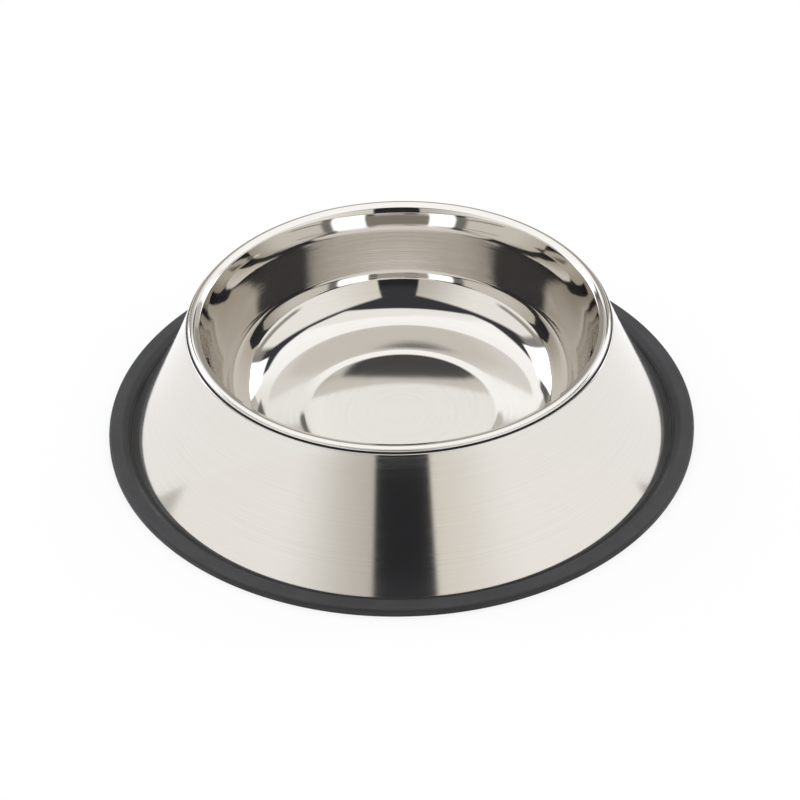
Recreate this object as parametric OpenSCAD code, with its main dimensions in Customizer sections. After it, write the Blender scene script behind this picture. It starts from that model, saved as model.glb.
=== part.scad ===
// Steel pet bowl with a conical skirt and a rubber ring around its base.
// Units are millimetres. Z points up, the table is z = 0 and the axis of the bowl is the Z axis.

/* [Overall] */
// Outer diameter of the rubber ring, the widest part
base_d = 250; // [238:1:280]
// Height from the table to the top of the rolled rim
overall_h = 55.2; // [52:0.1:66]
// Outer diameter over the rolled rim
rim_d = 176.2; // [172:0.2:184]

/* [Feeding bowl] */
// Thickness of the sheet the bowl is drawn from
bowl_sheet = 0.6; // [0.4:0.05:0.9]
// Width of the rolled rim, seen from above
rim_w = 4.85; // [4.4:0.05:5.4]
// Radius of the crown on top of the rim
crown_r = 3.3; // [2.8:0.1:3.6]
// Fall of the crown toward the inside, in degrees
crown_in = 20; // [16:1:24]
// Fall of the crown toward its turned-down edge, in degrees
crown_out = 38; // [34:1:42]
// Inside radius of the bend between wall and crown
lip_bend = 0.2; // [0.1:0.05:0.4]
// Inside radius of the turned-down edge
edge_bend = 0.35; // [0.25:0.05:0.5]
// Lean of the wall where it meets the rim, in degrees from vertical
lip_lean = 19; // [17:0.5:21]
// Radius of the gentle flare below the rim
flare_r = 69; // [40:1:76]
// Lean of the wall at its top
wall_top_lean = 9.9; // [8:0.1:12]
// Lean of the wall at its foot
wall_foot_lean = 14.4; // [13.5:0.1:18]
// Inside radius of the curve below the wall
curve_r = 27.4; // [22:0.1:30]
// Lean where that curve passes into the tighter corner
curve_lean = 50; // [40:1:58]
// Inside radius of the corner beside the floor
corner_r = 19.5; // [14:0.5:22]
// Height of the floor above the table at the outer edge of its step
floor_h = 6.3; // [5:0.1:8]
// Rise of the outer floor toward the wall, in degrees
floor_slope = 2; // [0:0.5:4]
// Diameter of the flat disc in the middle of the floor
disc_d = 80.2; // [60:0.2:82]
// Width of the sloped step around the disc
step_w = 3.8; // [3:0.1:5]
// Depth of the disc below the outer floor
disc_drop = 0.5; // [0.3:0.05:0.8]

/* [Outer skirt] */
// Thickness of the sheet the skirt is formed from
skirt_sheet = 0.6; // [0.4:0.05:0.8]
// Distance from the middle of the turned-down edge in to the outer face of the skirt
seam_offset = 0.6; // [0.45:0.05:0.75]
// Radius where the skirt turns out into its flange
foot_r = 0.7; // [0.6:0.1:1.6]
// Width of the flat flange that sits in the ring
flange_w = 5.7; // [5:0.1:6.5]

/* [Rubber ring] */
// Height of the ring
ring_h = 3.7; // [3.4:0.1:6]
// Width of the underside of the ring
ring_w = 15; // [13:0.5:22]
// Width of the raised outer band
band_w = 7.2; // [6.4:0.1:8]
// Rubber left outside the edge of the flange
ring_wall = 5.6; // [4.2:0.1:6]
// Rubber left under the flange
under_t = 0.6; // [0.55:0.05:1]
// Thickness of the lip over the flange
lip_t = 0.4; // [0.35:0.05:0.6]
// Rounding of the upper outer edge
edge_r = 1.4; // [0.6:0.1:1.6]
// Rounding of the lower edges
sole_r = 0.5; // [0.2:0.05:0.5]

/* [Fits] */
// Gap left in the rolled seam between bowl and skirt
seam_gap = 0.05; // [0.02:0.01:0.15]
// Gap left around the flange in the groove of the ring
groove_gap = 0.05; // [0.02:0.01:0.15]
// Gap between the lip of the ring and the turn of the skirt's foot
lip_gap = 0.1; // [0.05:0.05:0.2]

/* [Hidden] */
$fn = 180;

// Rolled rim: turned-down edge, crown and the bend at the wall, joined by a short straight shoulder
edge_ro = bowl_sheet + edge_bend;
bend_ro = bowl_sheet + lip_bend;
crown_a0 = 90 + crown_in;
crown_a1 = 90 - crown_out;
edge_x = rim_d / 2 - edge_ro;
crown_x = edge_x - (crown_r - edge_ro) * cos(crown_a1);
crown_z = overall_h - crown_r;
edge_z = crown_z + (crown_r - edge_ro) * sin(crown_a1);
bend_x = rim_d / 2 - rim_w + bend_ro * cos(lip_lean);
shoulder = (crown_x + (crown_r - bend_ro) * cos(crown_a0) - bend_x) / cos(crown_in);
bend_z = crown_z + (crown_r - bend_ro) * sin(crown_a0) - shoulder * sin(crown_in);

// Foot of the skirt, set by the groove of the ring
groove_x = base_d / 2 - ring_wall;
flange_x = groove_x - groove_gap;
turn_x = flange_x - flange_w;
flange_z0 = under_t + groove_gap;
flange_z1 = flange_z0 + skirt_sheet;
turn_z = flange_z1 + foot_r;

// Line of the skirt: from the rim, tangent to the turn of the foot
run_x = turn_x - edge_x + seam_offset;
run_z = turn_z - edge_z;
run = sqrt(run_x * run_x + run_z * run_z);
skirt_lean = 90 + atan2(run_z, run_x) - asin(foot_r / run);

// Seam: the skirt ends under the crown, and the edge curls in as far as the face of the skirt
face_out = (edge_x - seam_offset - crown_x) * cos(skirt_lean) + (edge_z - crown_z) * sin(skirt_lean);
face_in = face_out - skirt_sheet;
room = crown_r - bowl_sheet - seam_gap;
top_along = min(sqrt(room * room - face_out * face_out), sqrt(room * room - face_in * face_in));
curl_end = skirt_lean - acos((seam_gap - seam_offset * cos(skirt_lean)) / edge_ro);

// Inside of the bowl: flare, wall, curve, corner and floor
step_x = disc_d / 2 + step_w;
flare_x = bend_x + (flare_r - bend_ro) * cos(lip_lean);
flare_z = bend_z - (flare_r - bend_ro) * sin(lip_lean);
wall_x = flare_x - flare_r * cos(wall_top_lean);
wall_z = flare_z + flare_r * sin(wall_top_lean);
in_x = cos(wall_foot_lean) - cos(wall_top_lean);
in_z = sin(wall_top_lean) - sin(wall_foot_lean);
base_x = wall_x + curve_r * (cos(curve_lean) - cos(wall_foot_lean))
    + corner_r * (sin(floor_slope) - cos(curve_lean));
base_z = wall_z + curve_r * (sin(wall_foot_lean) - sin(curve_lean))
    + corner_r * (sin(curve_lean) - cos(floor_slope));
rise = tan(floor_slope);
wall_r = (base_z - floor_h - (base_x - step_x) * rise) / (in_x * rise - in_z);
wall_cx = wall_x - wall_r * cos(wall_top_lean);
wall_cz = wall_z + wall_r * sin(wall_top_lean);
curve_x = wall_x + wall_r * in_x - curve_r * cos(wall_foot_lean);
curve_z = wall_z + wall_r * in_z + curve_r * sin(wall_foot_lean);
corner_x = curve_x + (curve_r - corner_r) * cos(curve_lean);
corner_z = curve_z - (curve_r - corner_r) * sin(curve_lean);

// Colours
steel_bright = [0.80, 0.80, 0.79];
steel_satin = [0.72, 0.71, 0.69];
rubber_black = [0.10, 0.10, 0.11];

// Points of an arc, from angle a0 to angle a1
function arc(cx, cz, r, a0, a1, steps) =
    [for (i = [0:steps]) let (a = a0 + (a1 - a0) * i / steps) [cx + r * cos(a), cz + r * sin(a)]];

// The same list from its last point to its first
function back(list) = [for (i = [len(list) - 1:-1:0]) list[i]];

// One face of the bowl's sheet above the floor: t is 0 for the inside and the sheet for the outside
function bowl_side(t) = concat(
    arc(corner_x, corner_z, corner_r + t, -90 + floor_slope, -curve_lean, 12),
    arc(curve_x, curve_z, curve_r + t, -curve_lean, -wall_foot_lean, 12),
    arc(wall_cx, wall_cz, wall_r + t, -wall_foot_lean, -wall_top_lean, 8),
    arc(flare_x, flare_z, flare_r - t, 180 - wall_top_lean, 180 - lip_lean, 6),
    arc(bend_x, bend_z, bend_ro - t, 180 - lip_lean, crown_a0, 8),
    arc(crown_x, crown_z, crown_r - t, crown_a0, crown_a1, 12),
    arc(edge_x, edge_z, edge_ro - t, crown_a1, curl_end, 16)
);

// A list without points that repeat the one before
function tidy(list) = [
    for (i = [0:len(list) - 1])
        if (i == 0 || norm(list[i] - list[max(i - 1, 0)]) > 0.001) list[i]
];

// Drawn dish with the rolled rim
module feeding_bowl() {
    disc_z = floor_h - disc_drop;
    inside = concat(
        [[0, disc_z], [disc_d / 2, disc_z], [step_x, floor_h]],
        tidy(bowl_side(0))
    );
    outside = concat(
        [[0, disc_z - bowl_sheet], [disc_d / 2, disc_z - bowl_sheet], [step_x, floor_h - bowl_sheet]],
        tidy(bowl_side(bowl_sheet))
    );
    color(steel_bright)
        rotate_extrude()
            polygon(concat(outside, back(inside)));
}

// Conical shell, caught in the rim and turned out at its foot
module outer_skirt() {
    top_x = crown_x - sin(skirt_lean) * top_along;
    top_z = crown_z + cos(skirt_lean) * top_along;
    outer_face = concat(
        [[top_x + face_out * cos(skirt_lean), top_z + face_out * sin(skirt_lean)]],
        arc(turn_x, turn_z, foot_r, 180 + skirt_lean, 270, 10),
        [[flange_x, flange_z1]]
    );
    inner_face = concat(
        [[top_x + face_in * cos(skirt_lean), top_z + face_in * sin(skirt_lean)]],
        arc(turn_x, turn_z, foot_r + skirt_sheet, 180 + skirt_lean, 270, 10),
        [[flange_x, flange_z0]]
    );
    color(steel_satin)
        rotate_extrude()
            polygon(concat(outer_face, back(inner_face)));
}

// Rubber ring with the groove for the flange
module anti_slip_ring() {
    out_x = base_d / 2;
    sole_x = out_x - ring_w;
    lip_z0 = flange_z1 + groove_gap;
    lip_z1 = lip_z0 + lip_t;
    lip_r = foot_r - lip_gap;
    lip_top = 180 + asin((turn_z - lip_z1) / lip_r);
    band_x = out_x - band_w;
    color(rubber_black)
        rotate_extrude()
            polygon(concat(
                arc(sole_x + sole_r, sole_r, sole_r, 180, 270, 4),
                arc(out_x - sole_r, sole_r, sole_r, 270, 360, 4),
                arc(out_x - edge_r, ring_h - edge_r, edge_r, 0, 90, 8),
                [
                    [band_x + 0.3, ring_h],
                    [band_x, ring_h - 0.2],
                    [band_x - 0.3, lip_z1 + 0.15]
                ],
                arc(turn_x, turn_z, lip_r, lip_top, 270, 6),
                [
                    [turn_x, lip_z0],
                    [groove_x, lip_z0],
                    [groove_x, under_t],
                    [sole_x, under_t]
                ]
            ));
}

feeding_bowl();
outer_skirt();
anti_slip_ring();
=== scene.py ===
import math

import bpy
from mathutils import Matrix


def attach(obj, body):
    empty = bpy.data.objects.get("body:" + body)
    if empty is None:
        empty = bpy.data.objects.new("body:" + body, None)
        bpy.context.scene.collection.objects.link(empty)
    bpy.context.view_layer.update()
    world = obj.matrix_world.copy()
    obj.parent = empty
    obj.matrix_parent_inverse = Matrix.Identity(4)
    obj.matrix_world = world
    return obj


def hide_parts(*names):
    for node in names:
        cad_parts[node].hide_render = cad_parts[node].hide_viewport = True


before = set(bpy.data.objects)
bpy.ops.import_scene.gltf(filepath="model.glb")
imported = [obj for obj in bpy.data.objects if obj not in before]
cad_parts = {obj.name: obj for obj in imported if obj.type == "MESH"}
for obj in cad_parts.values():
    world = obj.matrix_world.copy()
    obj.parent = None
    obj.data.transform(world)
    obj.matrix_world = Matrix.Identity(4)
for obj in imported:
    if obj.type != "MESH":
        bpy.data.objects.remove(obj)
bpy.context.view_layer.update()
print("frame loaded:", ", ".join(sorted(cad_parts)))


# plain helpers

def deselectAll():
    active = bpy.context.view_layer.objects.active
    if active and active.mode != "OBJECT":
        bpy.ops.object.mode_set(mode="OBJECT")
    bpy.ops.object.select_all(action="DESELECT")


def arc(cx, cz, radius, start, end, step):
    # points (radius from the axis, height) along an arc, angles in degrees
    count = max(2, math.ceil(abs(end - start) / step))
    points = []
    for i in range(count + 1):
        angle = math.radians(start + (end - start) * i / count)
        points.append((cx + radius * math.cos(angle), cz + radius * math.sin(angle)))
    return points


def straight(a, b, longest):
    # points strictly between a and b, so that a long run keeps even faces
    count = math.ceil(math.dist(a, b) / longest)
    return [(a[0] + (b[0] - a[0]) * i / count, a[1] + (b[1] - a[1]) * i / count) for i in range(1, count)]


def softCorner(before, corner, after, reach, steps=6):
    # a rounded corner: a short curve that starts and ends at reach from the corner
    def towards(point):
        share = reach / math.dist(corner, point)
        return (corner[0] + (point[0] - corner[0]) * share, corner[1] + (point[1] - corner[1]) * share)
    a, b = towards(before), towards(after)
    curve = []
    for i in range(steps + 1):
        t = i / steps
        start, middle, end = (1 - t) ** 2, 2 * t * (1 - t), t * t
        curve.append(tuple(start * a[k] + middle * corner[k] + end * b[k] for k in (0, 1)))
    return curve


lathe = {
    "startSize": 0.001,
    "mergeDistance": 0.000002,
    "smoothAngle": 35,
}


def turnOnLathe(name, section, turns):
    # draws the section point by point in edit mode, then spins it round the bowl's axis
    deselectAll()
    bpy.ops.mesh.primitive_plane_add(size=lathe["startSize"], location=(section[0][0], 0, section[0][1]))
    piece = bpy.context.object
    piece.name = piece.data.name = name
    bpy.ops.object.transform_apply(location=True, rotation=False, scale=False)
    bpy.ops.object.mode_set(mode="EDIT")
    bpy.ops.mesh.select_all(action="SELECT")
    bpy.ops.mesh.merge(type="CENTER")
    for here, there in zip(section, section[1:]):
        step = (there[0] - here[0], 0, there[1] - here[1])
        bpy.ops.mesh.extrude_vertices_move(TRANSFORM_OT_translate={"value": step})
    bpy.ops.mesh.select_all(action="SELECT")
    bpy.ops.mesh.remove_doubles(threshold=lathe["mergeDistance"])
    bpy.ops.mesh.spin(steps=turns, angle=2 * math.pi, center=(0, 0, 0), axis=(0, 0, 1))
    bpy.ops.mesh.select_all(action="SELECT")
    bpy.ops.mesh.remove_doubles(threshold=lathe["mergeDistance"])
    bpy.ops.mesh.normals_make_consistent(inside=False)
    bpy.ops.object.mode_set(mode="OBJECT")
    bpy.ops.object.shade_smooth_by_angle(angle=math.radians(lathe["smoothAngle"]))
    print(name, "turned:", len(piece.data.vertices), "points,", len(piece.data.polygons), "faces")
    return piece


def newMaterial(name):
    material = bpy.data.materials.new(name)
    material.use_nodes = True
    tree = material.node_tree
    shader = tree.nodes["Principled BSDF"]
    return material, tree, shader


def addNode(tree, kind, **settings):
    node = tree.nodes.new(kind)
    for key, value in settings.items():
        setattr(node, key, value)
    return node


def setInputs(node, **values):
    for key, value in values.items():
        node.inputs[key].default_value = value


def mathNode(tree, operation, first, second=None):
    node = addNode(tree, "ShaderNodeMath", operation=operation)
    for socket, value in zip(node.inputs, (first, second)):
        if isinstance(value, (int, float)):
            socket.default_value = value
        elif value is not None:
            tree.links.new(value, socket)
    return node.outputs[0]


def mapRange(tree, value, low, high, toLow=0.0, toHigh=1.0, smooth=False):
    node = addNode(tree, "ShaderNodeMapRange")
    if smooth:
        node.interpolation_type = "SMOOTHSTEP"
    tree.links.new(value, node.inputs["Value"])
    setInputs(node, **{"From Min": low, "From Max": high, "To Min": toLow, "To Max": toHigh})
    return node.outputs["Result"]


def mixColours(tree, factor, first, second):
    node = addNode(tree, "ShaderNodeMix", data_type="RGBA")
    tree.links.new(factor, node.inputs["Factor"])
    for socket, value in ((node.inputs[6], first), (node.inputs[7], second)):
        if isinstance(value, tuple):
            socket.default_value = (*value, 1)
        else:
            tree.links.new(value, socket)
    return node.outputs[2]


# camera, placed as in the photograph

cameraSettings = {
    "target": (-0.00038, 0, 0.01125),
    "distance": 1.175,
    "elevation": 37.79,
    "roll": -1.28,
    "lens": 123.92,
    "sensorWidth": 36,
}


def makeCamera(s):
    data = bpy.data.cameras.new("photoCamera")
    data.lens = s["lens"]
    data.sensor_width = s["sensorWidth"]
    camera = bpy.data.objects.new("photoCamera", data)
    bpy.context.scene.collection.objects.link(camera)
    up = math.radians(s["elevation"])
    x, y, z = s["target"]
    place = Matrix.Translation((x, y - s["distance"] * math.cos(up), z + s["distance"] * math.sin(up)))
    tilt = Matrix.Rotation(math.pi / 2 - up, 4, "X")
    roll = Matrix.Rotation(math.radians(s["roll"]), 4, "Z")
    camera.matrix_world = place @ tilt @ roll
    bpy.context.scene.camera = camera
    print("camera set")


makeCamera(cameraSettings)


# dish: pressed and polished, its rim rolled outwards round the top of the skirt and pressed nearly flat

dish = {
    "rimRadius": 0.08825,
    "height": 0.0551,
    "sheet": 0.0006,
    "rimWidth": 0.005,
    "crownRadius": 0.0028,
    "crownIn": 26,
    "crownOut": 38,
    "lipBend": 0.0002,
    "edgeBend": 0.0001,
    "curlEnd": -90,
    "lipLean": 19,
    "flareRadius": 0.069,
    "wallTopLean": 9.9,
    "wallFootLean": 14.4,
    "curveRadius": 0.0274,
    "curveLean": 50,
    "cornerRadius": 0.0195,
    "floorHeight": 0.00557,
    "floorSlope": 5.0,
    "discRadius": 0.0401,
    "stepWidth": 0.0038,
    "discDrop": 0.0005,
    "stepInset": 0.0005,
    "stepSoftness": 0.001,
    "turns": 256,
}

# how finely each run of the dish is drawn: degrees along arcs, metres along straight runs

dishDetail = {
    "disc": 0.004,
    "step": 0.001,
    "floor": 0.0015,
    "corner": 1.2,
    "curve": 1.0,
    "wall": 0.3,
    "flare": 0.6,
    "bend": 6,
    "shoulder": 0.0002,
    "crown": 2.5,
    "edge": 6,
}

# skirt: a hollow cone with a turned-in top under the rim's edge, and a flange in the ring's groove

skirt = {
    "hollow": 14,
    "sheet": 0.0006,
    "topRadius": 0.0892,
    "topHeight": 0.05315,
    "topReach": 0.0863,
    "topSoftness": 0.0005,
    "footRadius": 0.0007,
    "flangeWidth": 0.0033,
    "sideStep": 0.12,
    "footStep": 3,
    "turns": 256,
}

# ring: moulded rubber round the foot, drawn a trace smaller than its full radius to stay within the solids

ring = {
    "fullRadius": 0.125,
    "outerRadius": 0.12494,
    "height": 0.0037,
    "width": 0.015,
    "bandWidth": 0.0081,
    "bandFlat": 0.0058,
    "bandInnerHeight": 0.0019,
    "bandSoftness": 0.0004,
    "lipInset": 0.0002,
    "wall": 0.0056,
    "underThickness": 0.0006,
    "lipThickness": 0.0004,
    "edgeRadius": 0.0014,
    "soleRadius": 0.0005,
    "grooveGap": 0.00005,
    "lipGap": 0.0001,
    "soleStep": 15,
    "edgeStep": 7.5,
    "lipStep": 12,
    "turns": 256,
}


def cosine(angle):
    return math.cos(math.radians(angle))


def sine(angle):
    return math.sin(math.radians(angle))


def rimArcs(s):
    # middle and radius of the three arcs of the rim: bend at the wall, crown and turned-down edge
    bend = s["sheet"] + s["lipBend"]
    crown = s["crownRadius"]
    edge = s["sheet"] + s["edgeBend"]
    inner, outer = 90 + s["crownIn"], 90 - s["crownOut"]
    edgeX = s["rimRadius"] - edge
    crownX = edgeX - (crown - edge) * cosine(outer)
    crownZ = s["height"] - crown
    edgeZ = crownZ + (crown - edge) * sine(outer)
    bendX = s["rimRadius"] - s["rimWidth"] + bend * cosine(s["lipLean"])
    shoulder = (crownX + (crown - bend) * cosine(inner) - bendX) / cosine(s["crownIn"])
    bendZ = crownZ + (crown - bend) * sine(inner) - shoulder * sine(s["crownIn"])
    return (bendX, bendZ, bend), (crownX, crownZ, crown), (edgeX, edgeZ, edge)


(bendX, bendZ, bendRadius), (crownX, crownZ, crownRadius), (edgeX, edgeZ, edgeRadius) = rimArcs(dish)
grooveX = ring["fullRadius"] - ring["wall"]
flangeX = grooveX - ring["grooveGap"]
turnX = flangeX - skirt["flangeWidth"]
flangeBottom = ring["underThickness"] + ring["grooveGap"]
flangeTop = flangeBottom + skirt["sheet"]
turnZ = flangeTop + skirt["footRadius"]


def skirtCurve(s):
    # middle and radius of the hollow curve, and the skirt's lean at its top and at its foot
    half = s["hollow"] / 2
    foot = s["footRadius"]
    reachX, reachZ = s["topRadius"] - turnX, s["topHeight"] - turnZ
    inset = foot * cosine(half)
    along = math.sqrt(reachX ** 2 + reachZ ** 2 - inset ** 2)
    radius = (along / sine(half) + foot) / 2
    lean = math.degrees(math.atan2(reachZ, reachX) - math.atan2(along, -inset))
    middle = (turnX + (radius - foot) * cosine(lean + half), turnZ + (radius - foot) * sine(lean + half))
    return middle, radius, lean - half, lean + half


def dishWall(s, detail, depth):
    # from the foot of the wall to the end of the rolled rim, depth below the polished face
    flareX = bendX + (s["flareRadius"] - bendRadius) * cosine(s["lipLean"])
    flareZ = bendZ - (s["flareRadius"] - bendRadius) * sine(s["lipLean"])
    wallX = flareX - s["flareRadius"] * cosine(s["wallTopLean"])
    wallZ = flareZ + s["flareRadius"] * sine(s["wallTopLean"])
    inX = cosine(s["wallFootLean"]) - cosine(s["wallTopLean"])
    inZ = sine(s["wallTopLean"]) - sine(s["wallFootLean"])
    baseX = (wallX + s["curveRadius"] * (cosine(s["curveLean"]) - cosine(s["wallFootLean"]))
             + s["cornerRadius"] * (sine(s["floorSlope"]) - cosine(s["curveLean"])))
    baseZ = (wallZ + s["curveRadius"] * (sine(s["wallFootLean"]) - sine(s["curveLean"]))
             + s["cornerRadius"] * (sine(s["curveLean"]) - cosine(s["floorSlope"])))
    rise = math.tan(math.radians(s["floorSlope"]))
    stepX = s["discRadius"] + s["stepWidth"]
    wallRadius = (baseZ - s["floorHeight"] - (baseX - stepX) * rise) / (inX * rise - inZ)
    wallCx = wallX - wallRadius * cosine(s["wallTopLean"])
    wallCz = wallZ + wallRadius * sine(s["wallTopLean"])
    curveX = wallX + wallRadius * inX - s["curveRadius"] * cosine(s["wallFootLean"])
    curveZ = wallZ + wallRadius * inZ + s["curveRadius"] * sine(s["wallFootLean"])
    cornerX = curveX + (s["curveRadius"] - s["cornerRadius"]) * cosine(s["curveLean"])
    cornerZ = curveZ - (s["curveRadius"] - s["cornerRadius"]) * sine(s["curveLean"])
    wallTop, wallFoot, curveTop = -s["wallTopLean"], -s["wallFootLean"], -s["curveLean"]
    inner, outer = 90 + s["crownIn"], 90 - s["crownOut"]
    floorEnd, lip = s["floorSlope"] - 90, 180 - s["lipLean"]
    corner = arc(cornerX, cornerZ, s["cornerRadius"] + depth, floorEnd, curveTop, detail["corner"])
    curve = arc(curveX, curveZ, s["curveRadius"] + depth, curveTop, wallFoot, detail["curve"])
    wall = arc(wallCx, wallCz, wallRadius + depth, wallFoot, wallTop, detail["wall"])
    flare = arc(flareX, flareZ, s["flareRadius"] - depth, 180 + wallTop, lip, detail["flare"])
    bend = arc(bendX, bendZ, bendRadius - depth, lip, inner, detail["bend"])
    crown = arc(crownX, crownZ, crownRadius - depth, inner, outer, detail["crown"])
    edge = arc(edgeX, edgeZ, edgeRadius - depth, outer, s["curlEnd"], detail["edge"])
    shoulder = straight(bend[-1], crown[0], detail["shoulder"])
    return corner + curve[1:] + wall[1:] + flare[1:] + bend[1:] + shoulder + crown + edge[1:]


def dishFloor(s, detail, depth, wallFoot):
    # flat disc, shallow step up and the gently rising floor around it
    discZ = s["floorHeight"] - s["discDrop"] - depth
    centre = (0, discZ)
    inset = s["stepInset"]
    discEdge = (s["discRadius"] + inset, discZ)
    stepZ = s["floorHeight"] - depth - inset * math.tan(math.radians(s["floorSlope"]))
    stepEdge = (s["discRadius"] + s["stepWidth"] - inset, stepZ)
    lower = softCorner(centre, discEdge, stepEdge, s["stepSoftness"])
    upper = softCorner(discEdge, stepEdge, wallFoot, s["stepSoftness"])
    disc = [centre] + straight(centre, lower[0], detail["disc"])
    step = lower + straight(lower[-1], upper[0], detail["step"]) + upper
    return disc + step + straight(upper[-1], wallFoot, detail["floor"])


def dishSection(s, detail):
    # the polished face from the middle to the rim's end, then the outer face back to the middle
    faces = []
    for depth in (0, s["sheet"]):
        wall = dishWall(s, detail, depth)
        faces.append(dishFloor(s, detail, depth, wall[0]) + wall)
    return faces[0] + faces[1][::-1]


def skirtSection(s):
    sheet = s["sheet"]
    (middleX, middleZ), radius, topLean, footLean = skirtCurve(s)
    outerSide = arc(middleX, middleZ, radius, 180 + topLean, 180 + footLean, s["sideStep"])
    innerSide = arc(middleX, middleZ, radius + sheet, 180 + topLean, 180 + footLean, s["sideStep"])
    outerFoot = arc(turnX, turnZ, s["footRadius"], 180 + footLean, 270, s["footStep"])
    innerFoot = arc(turnX, turnZ, s["footRadius"] + sheet, 180 + footLean, 270, s["footStep"])
    outerEnd, innerEnd = (s["topReach"], s["topHeight"]), (s["topReach"], s["topHeight"] - sheet)
    shoulder = softCorner(outerEnd, outerSide[0], outerSide[1], s["topSoftness"])
    innerTop = (s["topRadius"] - sheet * (1 - sine(topLean)) / cosine(topLean), s["topHeight"] - sheet)
    # the rounded shoulder takes the place of the side's first two points
    outer = [outerEnd] + shoulder + outerSide[2:] + outerFoot[1:]
    inner = [innerEnd, innerTop] + innerSide[1:] + innerFoot[1:]
    return outer + [(flangeX, flangeTop), (flangeX, flangeBottom)] + inner[::-1] + [outerEnd]


def ringSection(s):
    outer = s["outerRadius"]
    sole = s["fullRadius"] - s["width"]
    band = s["fullRadius"] - s["bandWidth"]
    lipZ = flangeTop + s["grooveGap"]
    lipTop = lipZ + s["lipThickness"]
    lipRadius = skirt["footRadius"] - s["lipGap"]
    lipAngle = 180 + math.degrees(math.asin((turnZ - lipTop) / lipRadius))
    top = s["height"]
    soleRadius, edge = s["soleRadius"], s["edgeRadius"]
    section = arc(sole + soleRadius, soleRadius, soleRadius, 180, 270, s["soleStep"])
    section += arc(outer - soleRadius, soleRadius, soleRadius, 270, 360, s["soleStep"])
    section += arc(outer - edge, top - edge, edge, 0, 90, s["edgeStep"])
    # flat top, then a slope down to the lip
    flatEnd, slopeEnd = (s["fullRadius"] - s["bandFlat"], top), (band, s["bandInnerHeight"])
    section += softCorner(section[-1], flatEnd, slopeEnd, s["bandSoftness"])
    section += [slopeEnd, (band - s["lipInset"], lipTop)]
    # the lip follows the turn of the skirt's foot
    section += arc(turnX, turnZ, lipRadius, lipAngle, 270, s["lipStep"])
    section += [(turnX, lipZ), (grooveX, lipZ), (grooveX, s["underThickness"]), (sole, s["underThickness"])]
    return section + [section[0]]


# materials

noise = {
    "low": 0.3,
    "high": 0.7,
    "roughness": 0.6,
    "lineDetail": 4,
}


def axisRadius(tree, position):
    parts = addNode(tree, "ShaderNodeSeparateXYZ")
    tree.links.new(position, parts.inputs[0])
    square = mathNode(tree, "ADD", mathNode(tree, "MULTIPLY", parts.outputs[0], parts.outputs[0]),
                      mathNode(tree, "MULTIPLY", parts.outputs[1], parts.outputs[1]))
    return mathNode(tree, "SQRT", square), parts


def noiseValue(tree, place, scale, detail):
    node = addNode(tree, "ShaderNodeTexNoise")
    setInputs(node, Scale=scale, Detail=detail, Roughness=noise["roughness"])
    tree.links.new(place, node.inputs["Vector"])
    return node.outputs["Fac"]


def polishingLines(tree, scaleAlong, scaleAcross):
    # noise drawn out round the axis, as polishing on a lathe leaves it
    place = addNode(tree, "ShaderNodeTexCoord").outputs["Object"]
    radius, parts = axisRadius(tree, place)
    turn = mathNode(tree, "ARCTAN2", parts.outputs[1], parts.outputs[0])
    joined = addNode(tree, "ShaderNodeCombineXYZ")
    tree.links.new(mathNode(tree, "MULTIPLY", radius, scaleAcross), joined.inputs[0])
    tree.links.new(mathNode(tree, "MULTIPLY", parts.outputs[2], scaleAcross), joined.inputs[1])
    tree.links.new(mathNode(tree, "MULTIPLY", mathNode(tree, "SINE", turn), scaleAlong), joined.inputs[2])
    return noiseValue(tree, joined.outputs[0], 1.0, noise["lineDetail"])


polish = {
    "bright": (0.685, 0.66, 0.623),
    "dull": (0.665, 0.64, 0.603),
    "roughness": (0.025, 0.06),
    "linesAlong": 2.5,
    "linesAcross": 900,
    "lineHeight": 0.000011,
    "linesFrom": 0.028,
    "linesTo": 0.046,
    "linesFade": 0.004,
    "fewLines": 0.0125,
    "floorTop": 0.0068,
    "floorFade": 0.002,
    "haze": 0.03,
    "dust": 0.07,
    "wornFrom": 0.0874,
    "wornFade": 0.0004,
    "worn": 0.3,
}


def makePolishedSteel(s):
    material, tree, shader = newMaterial("polishedSteel")
    lines = polishingLines(tree, s["linesAlong"], s["linesAcross"])
    steel = mixColours(tree, mapRange(tree, lines, noise["low"], noise["high"]), s["dull"], s["bright"])
    tree.links.new(steel, shader.inputs["Base Color"])
    # the floor is left a little hazier than the walls, and the rim's edge is worn
    radius, parts = axisRadius(tree, addNode(tree, "ShaderNodeTexCoord").outputs["Object"])
    height = parts.outputs[2]
    upTo = (s["floorTop"], s["floorTop"] + s["floorFade"])
    mirror = mapRange(tree, lines, noise["low"], noise["high"], s["roughness"][1], s["roughness"][0])
    onFloor = mapRange(tree, height, *upTo, s["haze"], 0.0)
    atEdge = mapRange(tree, radius, s["wornFrom"], s["wornFrom"] + s["wornFade"], 0.0, s["worn"])
    roughness = mathNode(tree, "MAXIMUM", mathNode(tree, "ADD", mirror, onFloor), atEdge)
    tree.links.new(roughness, shader.inputs["Roughness"])
    tree.links.new(mapRange(tree, height, *upTo, 1 - s["dust"], 1.0), shader.inputs["Metallic"])
    # lines left by the polishing wheel, deepest across the middle of the wall
    rising = mapRange(tree, height, s["linesFrom"] - s["linesFade"], s["linesFrom"], s["fewLines"], 1.0)
    falling = mapRange(tree, height, s["linesTo"], s["linesTo"] + s["linesFade"], 1.0, s["fewLines"])
    depth = mathNode(tree, "MULTIPLY", lines, mathNode(tree, "MINIMUM", rising, falling))
    bump = addNode(tree, "ShaderNodeBump")
    setInputs(bump, Strength=1.0, Distance=s["lineHeight"])
    tree.links.new(depth, bump.inputs["Height"])
    tree.links.new(bump.outputs[0], shader.inputs["Normal"])
    return material


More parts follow.
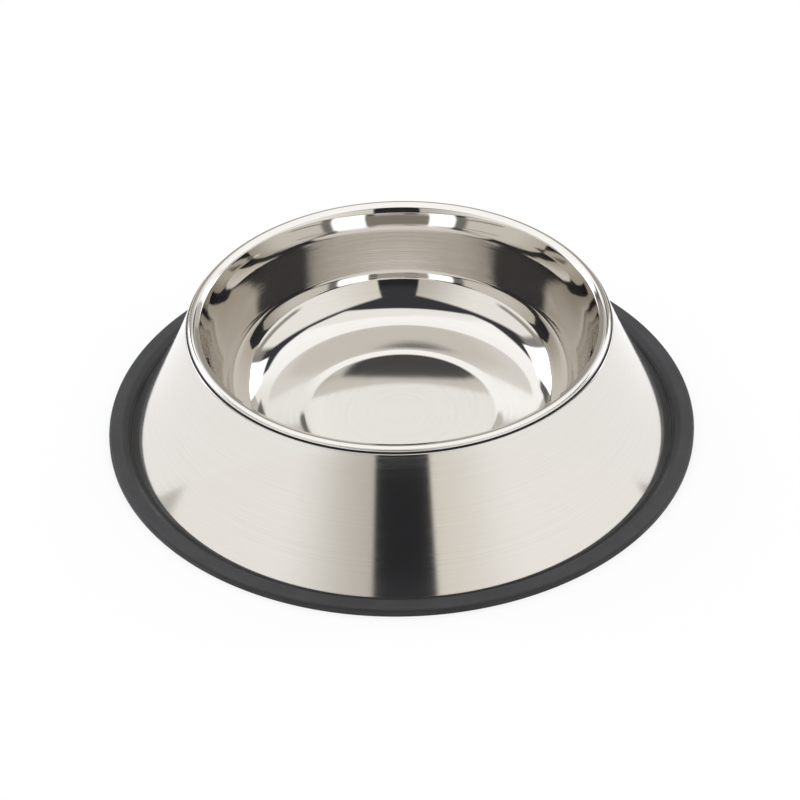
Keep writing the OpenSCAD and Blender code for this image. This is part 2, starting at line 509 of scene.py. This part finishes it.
satin = {
    "bright": (0.69, 0.665, 0.63),
    "dull": (0.66, 0.635, 0.60),
    "roughness": (0.07, 0.12),
    "linesAlong": 3.0,
    "linesAcross": 2200,
    # painted shade for the shadowed seam under the rim
    "seamShade": (0.03, 0.03, 0.03),
    "seamShadeRoughness": 0.6,
    "seamShadeRadius": 0.0889,
    "seamShadeHeight": 0.0525,
    "seamShadeFade": 0.0001,
}


def makeSatinSteel(s):
    material, tree, shader = newMaterial("satinSteel")
    lines = polishingLines(tree, s["linesAlong"], s["linesAcross"])
    steel = mixColours(tree, mapRange(tree, lines, noise["low"], noise["high"]), s["dull"], s["bright"])
    # painted shade: the seam under the rim is coloured dark, rough and not metallic
    radius, parts = axisRadius(tree, addNode(tree, "ShaderNodeTexCoord").outputs["Object"])
    fade = s["seamShadeFade"]
    inside = mapRange(tree, radius, s["seamShadeRadius"] - fade, s["seamShadeRadius"] + fade, 1.0, 0.0)
    atTop = mathNode(tree, "GREATER_THAN", parts.outputs[2], s["seamShadeHeight"])
    inSeam = mathNode(tree, "MULTIPLY", inside, atTop)
    tree.links.new(mixColours(tree, inSeam, steel, s["seamShade"]), shader.inputs["Base Color"])
    satinLines = mapRange(tree, lines, noise["low"], noise["high"], s["roughness"][1], s["roughness"][0])
    dullSeam = mathNode(tree, "MULTIPLY", inSeam, s["seamShadeRoughness"])
    tree.links.new(mathNode(tree, "MAXIMUM", satinLines, dullSeam), shader.inputs["Roughness"])
    tree.links.new(mathNode(tree, "SUBTRACT", 1.0, inSeam), shader.inputs["Metallic"])
    return material


rubber = {
    # painted shade: the darkest black, for the shaded groove and outer face
    "shadedBlack": (0.006, 0.006, 0.007),
    "dark": (0.026, 0.026, 0.028),
    "worn": (0.05, 0.05, 0.053),
    "grooveRadius": 0.1168,
    "faceRadius": 0.122,
    "faceHeight": 0.003,
    "grooveFade": 0.0002,
    "faceFade": 0.0004,
    "patchScale": 60.0,
    "patchDetail": 4.0,
    "patchRange": (0.35, 0.7),
    "roughness": (0.5, 0.68),
    "grainScale": 1400.0,
    "grainDetail": 3.0,
    "grainHeight": 0.00004,
    "grainStrength": 0.6,
}


def makeRubber(s):
    material, tree, shader = newMaterial("matteRubber")
    place = addNode(tree, "ShaderNodeTexCoord").outputs["Object"]
    grain = noiseValue(tree, place, s["grainScale"], s["grainDetail"])
    patches = noiseValue(tree, place, s["patchScale"], s["patchDetail"])
    dusty = mixColours(tree, mapRange(tree, patches, *s["patchRange"]), s["dark"], s["worn"])
    # patchy dust lies on top of the band; the groove and the outer face are painted darker as shade
    radius, parts = axisRadius(tree, place)
    onTop = mapRange(tree, parts.outputs[2], s["faceHeight"] - s["faceFade"], s["faceHeight"] + s["faceFade"])
    onBand = mathNode(tree, "MAXIMUM", onTop, mathNode(tree, "LESS_THAN", radius, s["faceRadius"]))
    groove = s["grooveRadius"]
    outside = mapRange(tree, radius, groove - s["grooveFade"], groove + s["grooveFade"])
    tree.links.new(mixColours(tree, mathNode(tree, "MULTIPLY", onBand, outside), s["shadedBlack"], dusty),
                   shader.inputs["Base Color"])
    roughness = mapRange(tree, patches, noise["low"], noise["high"], *s["roughness"])
    tree.links.new(roughness, shader.inputs["Roughness"])
    bump = addNode(tree, "ShaderNodeBump")
    setInputs(bump, Strength=s["grainStrength"], Distance=s["grainHeight"])
    tree.links.new(grain, bump.inputs["Height"])
    tree.links.new(bump.outputs[0], shader.inputs["Normal"])
    return material


# the three pieces

def seat(piece, material, node):
    piece.data.materials.clear()
    piece.data.materials.append(material)
    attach(piece, "root")
    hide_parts(node)


polishedDish = turnOnLathe("polishedDish", dishSection(dish, dishDetail), dish["turns"])
seat(polishedDish, makePolishedSteel(polish), "feeding_bowl")
satinSkirt = turnOnLathe("satinSkirt", skirtSection(skirt), skirt["turns"])
seat(satinSkirt, makeSatinSteel(satin), "outer_skirt")
rubberRing = turnOnLathe("rubberRing", ringSection(ring), ring["turns"])
seat(rubberRing, makeRubber(rubber), "anti_slip_ring")
print("pieces seated")


# studio: a light tent of pale panels, with a dark slit in front of the bowl for the camera

def makeFloor(s):
    deselectAll()
    bpy.ops.mesh.primitive_plane_add(size=s["floorSize"], location=(0, 0, 0))
    floor = bpy.context.object
    floor.name = "studioFloor"
    material, tree, shader = newMaterial("paleFloor")
    tree.nodes.remove(shader)
    seen = addNode(tree, "ShaderNodeLightPath")
    bent = mathNode(tree, "MAXIMUM", seen.outputs["Is Glossy Ray"], seen.outputs["Is Transmission Ray"])
    shown = mathNode(tree, "MAXIMUM", seen.outputs["Is Camera Ray"], bent)
    glow = addNode(tree, "ShaderNodeEmission")
    mirrored = mathNode(tree, "MULTIPLY", seen.outputs["Is Glossy Ray"], s["mirroredGlow"])
    tree.links.new(mathNode(tree, "ADD", mirrored, s["floorGlow"]), glow.inputs["Strength"])
    shade = addNode(tree, "ShaderNodeBsdfDiffuse")
    setInputs(shade, Color=(*s["floorColour"], 1))
    both = addNode(tree, "ShaderNodeAddShader")
    tree.links.new(glow.outputs[0], both.inputs[0])
    tree.links.new(shade.outputs[0], both.inputs[1])
    bounce = addNode(tree, "ShaderNodeBsdfDiffuse")
    setInputs(bounce, Color=(*s["floorBounce"], 1))
    choice = addNode(tree, "ShaderNodeMixShader")
    tree.links.new(shown, choice.inputs[0])
    tree.links.new(bounce.outputs[0], choice.inputs[1])
    tree.links.new(both.outputs[0], choice.inputs[2])
    tree.links.new(choice.outputs[0], tree.nodes["Material Output"].inputs[0])
    floor.data.materials.append(material)


def heading(azimuth):
    # level direction, 0 towards the camera and 90 to its right
    return (sine(azimuth), -cosine(azimuth), 0.0)


def below(azimuth, slope):
    # under a level straight edge that is nearest at this heading
    x, y, z = heading(azimuth)
    return (slope * x, slope * y, -1.0)


def above(azimuth, slope):
    return tuple(-v for v in below(azimuth, slope))


def rightOf(azimuth):
    return (cosine(azimuth), sine(azimuth), 0.0)


def leftOf(azimuth):
    return (-cosine(azimuth), -sine(azimuth), 0.0)


studio = {
    "floorSize": 12.0,
    "floorGlow": 0.80,
    "mirroredGlow": 0.15,
    "floorColour": (0.20, 0.20, 0.20),
    "floorBounce": (0.80, 0.80, 0.80),
    "ceiling": (1.18, 1.18, 1.17),
    "panelBlend": 20,
    "glossyBounces": 12,
}

darkGap = (0.055, 0.056, 0.064)
deepGap = (0.028, 0.028, 0.032)
greyGap = (0.33, 0.33, 0.33)
brownBar = (0.42, 0.40, 0.37)
backBar = (0.68, 0.66, 0.63)
darkSpot = (0.14, 0.14, 0.14)
lampWhite = (2.5, 2.6, 2.75)
hotCeiling = (1.38, 1.39, 1.42)
leftPanel = [(0.68, 0.65, 0.60), (1.15, 1.14, 1.12), leftOf(-33)]
rightPanel = [(0.93, 0.90, 0.84), (1.17, 1.16, 1.14), rightOf(33)]

# each part of the tent: its colour, then its edges with their softness in degrees
studio["parts"] = [
    (hotCeiling, [((-1.0, 0.0, -0.06), 1.2), (leftOf(-80), 8)]),
    (hotCeiling, [(above(180, 1.0), 5), (heading(180), 3)]),
    (darkGap, [(below(-8, 2.47), 2)]),
    (deepGap, [(below(0, 0.47), 6), (heading(0), 3)]),
    (darkGap, [(below(-60, 1.34), 1.5), (leftOf(-40), 3), (rightOf(-84), 2)]),
    (darkGap, [(below(58, 1.45), 1.5), (rightOf(40), 3), (leftOf(82), 2)]),
    (darkGap, [(below(-92, 1.24), 1.5), (leftOf(-52), 3)]),
    (darkGap, [(below(80, 1.30), 1.5), (rightOf(55), 3)]),
    (darkGap, [(below(108, 1.066), 1.5), (rightOf(92), 2), (leftOf(138), 1.5)]),
    (greyGap, [(rightOf(-114), 2), (leftOf(-90), 2), (below(-100, 0.80), 3)]),
    (greyGap, [(rightOf(95), 2), (leftOf(119), 2), (below(108, 0.60), 3)]),
    (backBar, [(rightOf(-118), 3), (leftOf(-92), 3), (below(-104, 0.2), 5)]),
    (leftPanel, [(leftOf(-12.5), 0.7), (rightOf(-100), 3), (below(-50, 1.13), 2)]),
    (rightPanel, [(rightOf(12.5), 0.7), (leftOf(106), 3), (below(52, 1.26), 2)]),
    (brownBar, [(below(-95, 0.47), 1), (above(-95, 0.37), 1), (leftOf(-66), 4), (rightOf(-108), 2)]),
    (brownBar, [(below(95, 0.47), 1), (above(95, 0.37), 1), (rightOf(66), 4), (leftOf(112), 2)]),
    (lampWhite, [(rightOf(-147), 1.5), (leftOf(-111), 2), (below(-124, 0.91), 1.5)]),
    (lampWhite, [(rightOf(118), 1.5), (leftOf(146), 1.5), (below(131, 0.81), 1.5)]),
    (darkGap, [(rightOf(-150), 1.5), (leftOf(-115), 3), (below(-130, 0.25), 2)]),
    (darkGap, [(rightOf(119), 3), (leftOf(150), 1.5), (below(130, 0.25), 2)]),
    (brownBar, [(rightOf(147), 1), (leftOf(-148), 1), (below(180, 0.725), 0.7)]),
    (backBar, [(rightOf(147), 1), (leftOf(-157), 1), (below(180, 0.725), 0.7), (above(180, 0.48), 1)]),
    (darkSpot, [(leftOf(-147), 1.5), (rightOf(-156), 1.5), (below(-152, 0.78), 1), (above(-152, 0.56), 2)]),
    (darkSpot, [(rightOf(158), 1.5), (leftOf(172), 1.5), (below(165, 0.745), 0.7), (above(165, 0.58), 2)]),
]


def makeWorld(s):
    world = bpy.data.worlds.new("lightTent")
    bpy.context.scene.world = world
    world.use_nodes = True
    tree = world.node_tree
    background = tree.nodes["Background"]
    direction = addNode(tree, "ShaderNodeVectorMath", operation="NORMALIZE")
    tree.links.new(addNode(tree, "ShaderNodeTexCoord").outputs["Generated"], direction.inputs[0])

    def edge(normal, soft):
        length = math.sqrt(sum(v * v for v in normal))
        dot = addNode(tree, "ShaderNodeVectorMath", operation="DOT_PRODUCT")
        tree.links.new(direction.outputs[0], dot.inputs[0])
        dot.inputs[1].default_value = tuple(v / length for v in normal)
        reach = math.sin(math.radians(soft))
        return mapRange(tree, dot.outputs["Value"], -reach, reach, smooth=True)

    def panel(*edges):
        mask = None
        for normal, soft in edges:
            here = edge(normal, soft)
            mask = here if mask is None else mathNode(tree, "MULTIPLY", mask, here)
        return mask

    # the ceiling covers all, then each part of the tent is laid over it
    blank = addNode(tree, "ShaderNodeRGB")
    blank.outputs[0].default_value = (*s["ceiling"], 1)
    colour = blank.outputs[0]
    for tone, edges in s["parts"]:
        if isinstance(tone, list):
            near, far, turned = tone
            tone = mixColours(tree, edge(turned, s["panelBlend"]), near, far)
        colour = mixColours(tree, panel(*edges), colour, tone)
    seen = addNode(tree, "ShaderNodeLightPath")
    colour = mixColours(tree, seen.outputs["Is Camera Ray"], colour, (1.0, 1.0, 1.0))
    tree.links.new(colour, background.inputs["Color"])
    setInputs(background, Strength=1.0)


makeFloor(studio)
makeWorld(studio)
bpy.context.scene.view_settings.view_transform = "Standard"
# polished walls mirror each other many times
bpy.context.scene.cycles.glossy_bounces = studio["glossyBounces"]
print("studio lit")
